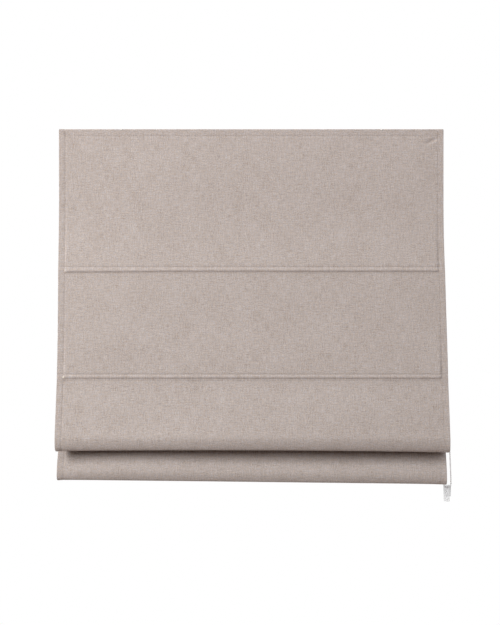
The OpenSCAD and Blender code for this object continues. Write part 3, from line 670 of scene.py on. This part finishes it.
tapes = []
tape_columns = [INSIDE_HEMS * (2 * i / TAPE_COLUMNS - 1) for i in range(TAPE_COLUMNS + 1)]
for k, middle in enumerate((V_ROD_1, V_ROD_2, V_ARCH_3, V_ARCH_4), start=1):
    depth = ridge_tape_depth if k in RIDGE_RODS else arch_tape_depth
    reach = (TAPE_HALF if k in RIDGE_RODS else ARCH_HALF) + FLANGE

    def tape_spot(u, w, middle=middle, depth=depth):
        return cloth_spot(u, middle + w, -depth(w), ridged=False)

    across = [reach * (2 * i / TAPE_STEPS - 1) for i in range(TAPE_STEPS + 1)]
    tape = sheet_mesh(f"rod_tape_{k}", tape_columns, across, tape_spot)
    apply_modifier(tape, "SOLIDIFY", thickness=TAPE_T * MM, offset=0)
    smooth(tape)
    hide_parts(f"pocket_tape_{k}")
    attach(tape, "blind")
    spots = [tape_spot(0, w) for w in across]
    tapes.append(tape)

# Stitches: short lens-shaped loops of thread, one line of them for each seam, laid onto the cloth
STITCH_PITCH = 4.0
STITCH_LEN = 3.1
STITCH_D = 0.8
STITCH_X = HALF_W - STITCH_IN
THREAD_LIFT = 0.05
FRONT = CLOTH_T / 2 + THREAD_LIFT
BACK = -FRONT
HEM_BACK = BACK - 2 * TURN_R
TAPE_BACK = -(TAPE_OFF + TAPE_T + THREAD_LIFT)
SIDE_SEAM_TOP = 4
SIDE_SEAM_FOOT = 6
HEM_SEAM_IN = 4
TAPE_SEAM_IN = 2


def seam(name, start, end, lift, ridged=True):
    """A line of stitches from one spot of the cloth to another, in mm across and down."""
    way = Vector(end) - Vector(start)
    count = int(way.length / STITCH_PITCH)
    bpy.ops.mesh.primitive_ico_sphere_add(subdivisions=1, radius=0.5)
    row = bpy.context.object
    row.name = name
    bpy.ops.object.mode_set(mode="EDIT")
    bpy.ops.transform.resize(value=(STITCH_LEN, STITCH_D, STITCH_D))
    bpy.ops.object.mode_set(mode="OBJECT")
    apply_modifier(
        row,
        "ARRAY",
        count=count,
        use_relative_offset=False,
        use_constant_offset=True,
        constant_offset_displace=(STITCH_PITCH, 0, 0),
    )
    along = way.normalized()
    across = Vector((-along.y, along.x))
    for vertex in row.data.vertices:
        spot = Vector(start) + along * (vertex.co.x + STITCH_PITCH / 2) + across * vertex.co.y
        vertex.co = cloth_spot(spot.x, spot.y, lift + vertex.co.z, ridged)
    make_active(row)
    bpy.ops.object.mode_set(mode="EDIT")
    bpy.ops.mesh.select_all(action="SELECT")
    bpy.ops.mesh.normals_make_consistent(inside=False)
    bpy.ops.object.mode_set(mode="OBJECT")
    bpy.ops.object.shade_smooth()
    return row


def tape_seam(name, v, lift):
    """A line of stitches along a tape's flange, seen from the back."""
    half = INSIDE_HEMS - TAPE_SEAM_IN
    return seam(name, (-half, v), (half, v), lift, ridged=False)


v_top_seam = V_TOP + STITCH_TOP
v_hem_seam = V_HEM - BOTTOM_HEM + HEM_SEAM_IN
front_seams = [seam("top", (-STITCH_X, v_top_seam), (STITCH_X, v_top_seam), FRONT)]
front_seams.append(seam("bottom", (-INSIDE_HEMS, v_hem_seam), (INSIDE_HEMS, v_hem_seam), FRONT))
back_seams = []
for x in (-STITCH_X, STITCH_X):
    top = (x, V_TOP + SIDE_SEAM_TOP)
    foot = (x, V_HEM - SIDE_SEAM_FOOT)
    front_seams.append(seam("side", top, foot, FRONT))
    back_seams.append(seam("side_back", top, foot, HEM_BACK))
for rod_v in (V_ROD_1, V_ROD_2):
    for v in (rod_v - SEAM_OFF, rod_v + SEAM_OFF):
        front_seams.append(seam("rod", (-INSIDE_HEMS, v), (INSIDE_HEMS, v), FRONT))
for middle, off in (
    (V_ROD_1, SEAM_OFF),
    (V_ROD_2, SEAM_OFF),
    (V_ARCH_3, ARCH_HALF + FLANGE / 2),
    (V_ARCH_4, ARCH_HALF + FLANGE / 2),
):
    back_seams.append(tape_seam("tape_upper", middle - off, TAPE_BACK))
    back_seams.append(tape_seam("tape_lower", middle + off, TAPE_BACK))
back_seams.append(tape_seam("bottom_back", V_HEM + BOTTOM_HEM - HEM_SEAM_IN, BACK))
stitches_front = join(front_seams, "stitches_front")
stitches_back = join(back_seams, "stitches_back")
for piece in (stitches_front, stitches_back):
    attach(piece, "blind")

# Ring ties: two turns of thread that sew each ring to its pocket tape
TIE_R = 1.75 * MM
TIE_WIRE = 0.35 * MM
TIE_APART = 0.5 * MM
TIE_LEAN = 8
RING_R = 5 * MM
ties = []
for side in SIDES:
    x = centre_of("lift_cord_" + side).x
    for k in RODS:
        ring = centre_of(f"rings_{k}")
        rod = centre_of(f"rod_{k}")
        towards = Vector((0, -1, 0))
        if k in RIDGE_RODS:
            towards = Vector((0, rod.y - ring.y, rod.z - ring.z))
        spot = Vector((x, ring.y, ring.z)) + towards.normalized() * RING_R
        for shift, lean in ((-TIE_APART, TIE_LEAN), (TIE_APART, -TIE_LEAN)):
            bpy.ops.mesh.primitive_torus_add(
                location=spot + Vector((shift, 0, 0)),
                rotation=(0, math.radians(90 + lean), 0),
                major_radius=TIE_R,
                minor_radius=TIE_WIRE,
                major_segments=16,
                minor_segments=6,
            )
            bpy.ops.object.transform_apply(location=True, rotation=True, scale=True)
            bpy.ops.object.shade_smooth()
            ties.append(bpy.context.object)
ring_ties = join(ties, "ring_ties")
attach(ring_ties, "blind")

# Loop tape: a soft strip sewn behind the top hem, with its pile pressed into the hooks
LOOP_ROUND = 0.4 * MM
low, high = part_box("loop_tape")
bpy.ops.mesh.primitive_cube_add(size=1, location=(low + high) / 2)
loop_strip = bpy.context.object
loop_strip.name = "loop_strip"
loop_strip.scale = high - low
bpy.ops.object.transform_apply(location=True, rotation=True, scale=True)
apply_modifier(loop_strip, "BEVEL", width=LOOP_ROUND, segments=2)
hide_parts("loop_tape")
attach(loop_strip, "blind")


# Materials
WAVE_RATE = 20


def linear(hex_code):
    """A colour written as sRGB hex, as linear RGBA."""
    values = [int(hex_code[i : i + 2], 16) / 255 for i in (1, 3, 5)]
    return [v / 12.92 if v <= 0.04045 else ((v + 0.055) / 1.055) ** 2.4 for v in values] + [1]


def add(tree, kind, settings=None, links=None):
    """One node with its settings, socket values and incoming links."""
    node = tree.nodes.new("ShaderNode" + kind)
    for name, value in (settings or {}).items():
        if isinstance(name, str) and hasattr(node, name):
            setattr(node, name, value)
        else:
            node.inputs[name].default_value = value
    for name, source in (links or {}).items():
        tree.links.new(source, node.inputs[name])
    return node


def new_material(name):
    """An empty material and its node tree."""
    material = bpy.data.materials.new(name)
    material.use_nodes = True
    material.node_tree.nodes.clear()
    return material, material.node_tree


def paint(material, *pieces):
    """Gives pieces one material."""
    for piece in pieces:
        piece.data.materials.clear()
        piece.data.materials.append(material)


def ramp(tree, source, stops):
    """Colours over a pattern's value: pairs of place and hex colour."""
    node = add(tree, "ValToRGB", links={"Fac": source})
    elements = node.color_ramp.elements
    while len(elements) < len(stops):
        elements.new(0.5)
    for element, (place, colour) in zip(elements, stops):
        element.position = place
        element.color = linear(colour)
    return node.outputs["Color"]


def bands(millimetres):
    """Wave texture scale for bands of that spacing in mm: its sine runs WAVE_RATE times as fast."""
    return 2 * math.pi / WAVE_RATE / (millimetres * MM)


# Linen-look polyester, woven from melange slub yarn: matt, with light and dark threads both ways.
# The threads, about 0.6 mm wide, are drawn 2.5 mm wide in colour and 1.5 mm in relief, to show at this size.
# Sizes in mm of the slubs both ways, the specks, the cloudy shade and the tint
WARP = (2.4, 30, 1)
WEFT = (26, 2.6, 1)
SPECK = (3.1, 3.1, 1)
CLOUD = (70, 95, 1)
TINT = (5.5, 5.5, 1)
SPECK_SHARE = 1.7
CLOUD_SHARE = 0.3
RELIEF_THREAD = 1.5


def woven_linen_look(name, shades):
    """Woven cloth in shades from its dark to its light threads, laid by the cloth's UV map."""
    material, tree = new_material(name)
    uv = add(tree, "UVMap", {"uv_map": "weave"}).outputs["UV"]
    patterns = []
    for size in (WARP, WEFT, SPECK, CLOUD, TINT):
        scale = [1 / (s * MM) for s in size]
        coords = add(tree, "Mapping", {"Scale": scale}, {"Vector": uv})
        pattern = add(
            tree,
            "TexNoise",
            {"Scale": 1.0, "Detail": 2.0, "Roughness": 0.6},
            {"Vector": coords.outputs["Vector"]},
        )
        patterns.append(pattern.outputs["Fac"])
    warp, weft, speck, cloud, tint = patterns
    threads = add(tree, "Math", {"operation": "ADD"}, {0: warp, 1: weft}).outputs[0]
    specks = add(
        tree, "Math", {"operation": "MULTIPLY_ADD", 1: SPECK_SHARE}, {0: speck, 2: threads}
    ).outputs[0]
    clouds = add(
        tree, "Math", {"operation": "MULTIPLY_ADD", 1: CLOUD_SHARE}, {0: cloud, 2: specks}
    ).outputs[0]
    value = add(tree, "MapRange", {"From Min": 1.53, "From Max": 2.48}, {"Value": clouds}).outputs[0]
    fibres = add(
        tree,
        "Mix",
        {"data_type": "RGBA", "blend_type": "MULTIPLY", 0: 1.0},
        {6: ramp(tree, value, shades), 7: ramp(tree, tint, ((0.3, "#fffaf1"), (0.7, "#f1f7ff")))},
    )
    colour = fibres.outputs[2]
    ribs = [
        add(
            tree,
            "TexWave",
            {"bands_direction": way, "Scale": bands(RELIEF_THREAD), "Distortion": 0.6},
            {"Vector": uv},
        ).outputs["Fac"]
        for way in ("X", "Y")
    ]
    weave = add(tree, "Math", {"operation": "MULTIPLY"}, {0: ribs[0], 1: ribs[1]}).outputs[0]
    height = add(tree, "Math", {"operation": "MULTIPLY_ADD", 1: 0.5}, {0: weave, 2: clouds}).outputs[0]
    bump = add(tree, "Bump", {"Strength": 0.35, "Distance": 0.4 * MM}, {"Height": height})
    rough = add(
        tree, "MapRange", {"From Max": 1.0, "To Min": 0.96, "To Max": 0.84}, {"Value": weave}
    ).outputs[0]
    shader = add(
        tree,
        "BsdfPrincipled",
        {"IOR": 1.5, "Specular IOR Level": 0.3, "Sheen Weight": 0.12, "Sheen Roughness": 0.5},
        {"Base Color": colour, "Roughness": rough, "Normal": bump.outputs["Normal"]},
    )
    add(tree, "OutputMaterial", links={"Surface": shader.outputs[0]})
    return material


linen = woven_linen_look(
    "woven_linen_look",
    ((0.0, "#a1958e"), (0.38, "#b6aca7"), (0.62, "#bfb6b3"), (1.0, "#cdc8c7")),
)
paint(linen, cloth)
tape_cloth = woven_linen_look(
    "woven_pocket_tape",
    ((0.0, "#a99e98"), (0.4, "#bbb1ac"), (0.6, "#c2b9b4"), (1.0, "#cdc6c2")),
)
paint(tape_cloth, *tapes)


def grained(name, colours, grain, bump_depth, roughness, stretch=(1, 1, 1), **shader_values):
    """A moulded, coated or drawn surface: a grain of that size in mm in its colour, gloss and relief."""
    material, tree = new_material(name)
    place = add(tree, "TexCoord").outputs["Object"]
    scale = [1 / (grain * s * MM) for s in stretch]
    coords = add(tree, "Mapping", {"Scale": scale}, {"Vector": place}).outputs["Vector"]
    fine = add(tree, "TexNoise", {"Scale": 1.0, "Detail": 2.0}, {"Vector": coords}).outputs["Fac"]
    wide = add(tree, "TexNoise", {"Scale": 0.04, "Detail": 2.0}, {"Vector": coords}).outputs["Fac"]
    mixed = add(tree, "Math", {"operation": "MULTIPLY_ADD", 1: 0.4}, {0: fine, 2: wide}).outputs[0]
    value = add(tree, "MapRange", {"From Min": 0.45, "From Max": 0.95}, {"Value": mixed}).outputs[0]
    colour = ramp(tree, value, ((0.0, colours[0]), (1.0, colours[1])))
    rough = add(
        tree,
        "MapRange",
        {"To Min": roughness[0], "To Max": roughness[1]},
        {"Value": value},
    ).outputs[0]
    bump = add(tree, "Bump", {"Strength": 0.4, "Distance": bump_depth * MM}, {"Height": fine})
    shader = add(
        tree,
        "BsdfPrincipled",
        shader_values,
        {"Base Color": colour, "Roughness": rough, "Normal": bump.outputs["Normal"]},
    )
    add(tree, "OutputMaterial", links={"Surface": shader.outputs[0]})
    return material


# Powder coat on steel and aluminium: satin white, with the slight orange peel of a baked coat
powder_coat = grained(
    "white_powder_coat",
    ("#e3e2de", "#ecebe8"),
    grain=0.9,
    bump_depth=0.03,
    roughness=(0.32, 0.42),
    IOR=1.5,
)
paint(powder_coat, *nodes("bracket_left", "bracket_right", "lever_left", "lever_right"))
paint(powder_coat, *nodes("headrail", "weight_bar"))

# Moulded ABS: white, eggshell gloss, spark-eroded grain
abs_white = grained(
    "moulded_white_abs",
    ("#e2e0dc", "#ebe9e5"),
    grain=0.35,
    bump_depth=0.04,
    roughness=(0.4, 0.55),
    IOR=1.53,
)
paint(abs_white, *nodes("end_cap", "drive_housing", "drive_cover", "cord_stops"))
paint(abs_white, *nodes(*["cradle_" + side for side in SIDES]))

# Moulded acetal: grey and slightly waxy
acetal = grained(
    "moulded_grey_acetal",
    ("#8f9190", "#9b9d9b"),
    grain=0.4,
    bump_depth=0.03,
    roughness=(0.3, 0.4),
    IOR=1.48,
)
paint(acetal, *nodes("sprocket", "shaft_bush", *["spool_" + side for side in SIDES]))

# Drawn steel: bright, with fine draw lines along its length
drawn_steel = grained(
    "drawn_steel",
    ("#b4b6b8", "#c6c8ca"),
    grain=0.25,
    bump_depth=0.02,
    roughness=(0.22, 0.38),
    stretch=(60, 1, 1),
    Metallic=1.0,
)
paint(drawn_steel, *nodes("drive_shaft", "brake_spring"))

# Pultruded glass fibre: off-white rod with lengthwise fibre streaks
rod_fibre = grained(
    "pultruded_glass_fibre",
    ("#dcd8c8", "#ece9dd"),
    grain=0.3,
    bump_depth=0.03,
    roughness=(0.35, 0.5),
    stretch=(80, 1, 1),
    IOR=1.55,
)
paint(rod_fibre, *nodes(*[f"rod_{k}" for k in RODS]))

# Bead chain: glossy white moulded beads on a cord
bead_white = grained(
    "moulded_white_beads",
    ("#f7f8f9", "#fdfdfd"),
    grain=0.5,
    bump_depth=0.01,
    roughness=(0.12, 0.2),
    IOR=1.5,
)
paint(bead_white, *nodes("chain_front_run", "chain_rear_run", "chain_drive_bend", "chain_lower_bend"))


# Braided polyester cord and spun thread of crossing strands: soft white cord, brown thread with painted shade
BRAID_TURN = 40


def braided(name, colours, strand):
    """A braid: two sets of slanting strands of that width in mm."""
    material, tree = new_material(name)
    place = add(tree, "TexCoord").outputs["Object"]
    strands = []
    for turn in (BRAID_TURN, -BRAID_TURN):
        coords = add(
            tree, "Mapping", {"Rotation": (0, math.radians(turn), 0)}, {"Vector": place}
        ).outputs["Vector"]
        wave = add(
            tree, "TexWave", {"bands_direction": "Z", "Scale": bands(strand)}, {"Vector": coords}
        )
        strands.append(wave.outputs["Fac"])
    braid = add(tree, "Math", {"operation": "MAXIMUM"}, {0: strands[0], 1: strands[1]}).outputs[0]
    colour = ramp(tree, braid, ((0.0, colours[0]), (0.7, colours[1])))
    rough = add(tree, "MapRange", {"To Min": 0.9, "To Max": 0.7}, {"Value": braid}).outputs[0]
    bump = add(tree, "Bump", {"Strength": 0.5, "Distance": 0.1 * MM}, {"Height": braid})
    shader = add(
        tree,
        "BsdfPrincipled",
        {"IOR": 1.5, "Sheen Weight": 0.1},
        {"Base Color": colour, "Roughness": rough, "Normal": bump.outputs["Normal"]},
    )
    add(tree, "OutputMaterial", links={"Surface": shader.outputs[0]})
    return material


cord_braid = braided("braided_polyester_cord", ("#c9c5bc", "#f1efe9"), strand=0.7)
paint(cord_braid, *lift_cords, *knots, ring_ties, *nodes(*["winding_" + side for side in SIDES]))
# The thread's dark brown is partly its own colour and partly painted shade for the shadows that stitches cast
thread = braided("spun_thread_painted_shade", ("#5f524a", "#7c6e65"), strand=0.5)
paint(thread, stitches_front, stitches_back)

# Hook and loop tape: white nylon, hooks in rows on one, brushed pile on the other
hook_nylon = grained(
    "woven_hook_tape",
    ("#cfcdc8", "#efeeea"),
    grain=0.7,
    bump_depth=0.35,
    roughness=(0.5, 0.8),
    IOR=1.53,
)
paint(hook_nylon, *nodes("hook_tape"))
loop_nylon = grained(
    "brushed_loop_tape",
    ("#d8d5ce", "#f0eee9"),
    grain=0.5,
    bump_depth=0.5,
    roughness=(0.85, 0.95),
    IOR=1.53,
)
paint(loop_nylon, loop_strip)


# Clear polycarbonate: lets the white behind it through; painted grey shade where its walls stand on end
HAZE = 6


def clear_plastic(name, painted_wall_shade, painted_rim_shade, face):
    """Half-clear plastic, shaded by facing: painted grey on walls and rims, its own tint on flat faces."""
    material, tree = new_material(name)
    coords = add(tree, "TexCoord")
    facing = add(tree, "SeparateXYZ", links={0: coords.outputs["Normal"]}).outputs["Y"]
    flat = add(tree, "Math", {"operation": "ABSOLUTE"}, {0: facing}).outputs[0]
    colour = ramp(tree, flat, ((0.0, painted_wall_shade), (0.55, painted_rim_shade), (0.8, painted_rim_shade), (0.95, face)))
    haze = add(
        tree, "TexNoise", {"Scale": 1 / (HAZE * MM), "Detail": 2.0}, {"Vector": coords.outputs["Object"]}
    ).outputs["Fac"]
    rough = add(tree, "MapRange", {"To Min": 0.08, "To Max": 0.2}, {"Value": haze}).outputs[0]
    bump = add(tree, "Bump", {"Strength": 0.2, "Distance": 0.05 * MM}, {"Height": haze})
    shader = add(
        tree,
        "BsdfPrincipled",
        {"IOR": 1.58, "Alpha": 0.29},
        {"Base Color": colour, "Roughness": rough, "Normal": bump.outputs["Normal"]},
    )
    add(tree, "OutputMaterial", links={"Surface": shader.outputs[0]})
    return material


# The wall and rim greys are painted shade for the darkening at edges and holes; the face colour is the
# plastic's own tint
clear = clear_plastic("clear_polycarbonate", "#9a9da2", "#6a6d72", "#e6e8eb")
clear_pieces = nodes(*[f"rings_{k}" for k in RODS], "chain_connector", "tensioner_base", "tensioner_cover")
paint(clear, *clear_pieces)
for piece in clear_pieces:
    piece.visible_shadow = False

# Floor below the view, world and lamps: white behind everything, soft light from the upper left front
FLOOR_PLACE = (0, -0.1, -3.0)
FLOOR_SIZE = 3
bpy.ops.mesh.primitive_plane_add(size=FLOOR_SIZE, location=FLOOR_PLACE)
floor = bpy.context.object
floor.name = "floor"
floor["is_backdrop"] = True


def seen_directly(tree):
    """Share of rays that show the backdrop itself: straight, in gloss, or through clear plastic."""
    rays = add(tree, "LightPath").outputs
    share = rays["Is Camera Ray"]
    for kind in ("Is Glossy Ray", "Is Transmission Ray"):
        share = add(tree, "Math", {"operation": "MAXIMUM"}, {0: share, 1: rays[kind]}).outputs[0]
    return share


floor_white, tree = new_material("matt_white_floor")
grain = add(
    tree, "TexNoise", {"Scale": 40.0}, {"Vector": add(tree, "TexCoord").outputs["Object"]}
).outputs["Fac"]
matt = add(tree, "BsdfDiffuse", links={"Color": ramp(tree, grain, ((0.3, "#e4e4e4"), (0.7, "#ececec")))})
white = add(tree, "Emission", {"Strength": 1.0})
mix = add(
    tree, "MixShader", links={0: seen_directly(tree), 1: matt.outputs[0], 2: white.outputs[0]}
)
add(tree, "OutputMaterial", links={"Surface": mix.outputs[0]})
paint(floor_white, floor)

SKY = 0.85
SKY_COLOURS = ((0.0, "#a8744f"), (0.2, "#7a4a30"), (0.38, "#15100e"), (0.56, "#1d1b1a"), (0.82, "#fdf9f4"))
world = bpy.data.worlds.new("white_surround")
bpy.context.scene.world = world
world.use_nodes = True
tree = world.node_tree
tree.nodes.clear()
direct = add(tree, "Background", {"Color": (1, 1, 1, 1), "Strength": 1.0})
height = add(tree, "SeparateXYZ", links={0: add(tree, "TexCoord").outputs["Generated"]}).outputs["Z"]
level = add(tree, "MapRange", {"From Min": -1.0}, {"Value": height}).outputs[0]
glow = ramp(tree, level, SKY_COLOURS)
around = add(tree, "Background", {"Strength": SKY}, {"Color": glow})
mix = add(
    tree, "MixShader", links={0: seen_directly(tree), 1: around.outputs[0], 2: direct.outputs[0]}
)
add(tree, "OutputWorld", links={"Surface": mix.outputs[0]})

# Name, place, aim, size, watts and colour of each lamp
LAMPS = (
    ("key", (-4.3, -2.75, 1.72), (0.0, -0.05, -0.2), (0.8, 3.4), 340, "#fffcf9"),
    ("fill", (2.6, -2.4, 1.8), (0.3, -0.05, -0.2), (1.6, 1.6), 29, "#f8f9ff"),
    ("top", (0.3, -1.3, 1.1), (0.2, -0.05, -0.2), (1.8, 0.6), 5.0, "#ffffff"),
    ("back", (-1.6, 3.2, 1.4), (0.0, 0.0, -0.5), (2.0, 2.0), 70, "#ffffff"),
)
for name, place, aim, size, watts, colour in LAMPS:
    way = Vector(aim) - Vector(place)
    bpy.ops.object.light_add(type="AREA", location=place, rotation=way.to_track_quat("-Z", "Y").to_euler())
    lamp = bpy.context.object
    lamp.name = name
    lamp.data.shape = "RECTANGLE"
    lamp.data.size = size[0]
    lamp.data.size_y = size[1]
    lamp.data.energy = watts
    lamp.data.color = linear(colour)[:3]

bpy.context.scene.view_settings.view_transform = "Standard"

low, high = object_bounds()
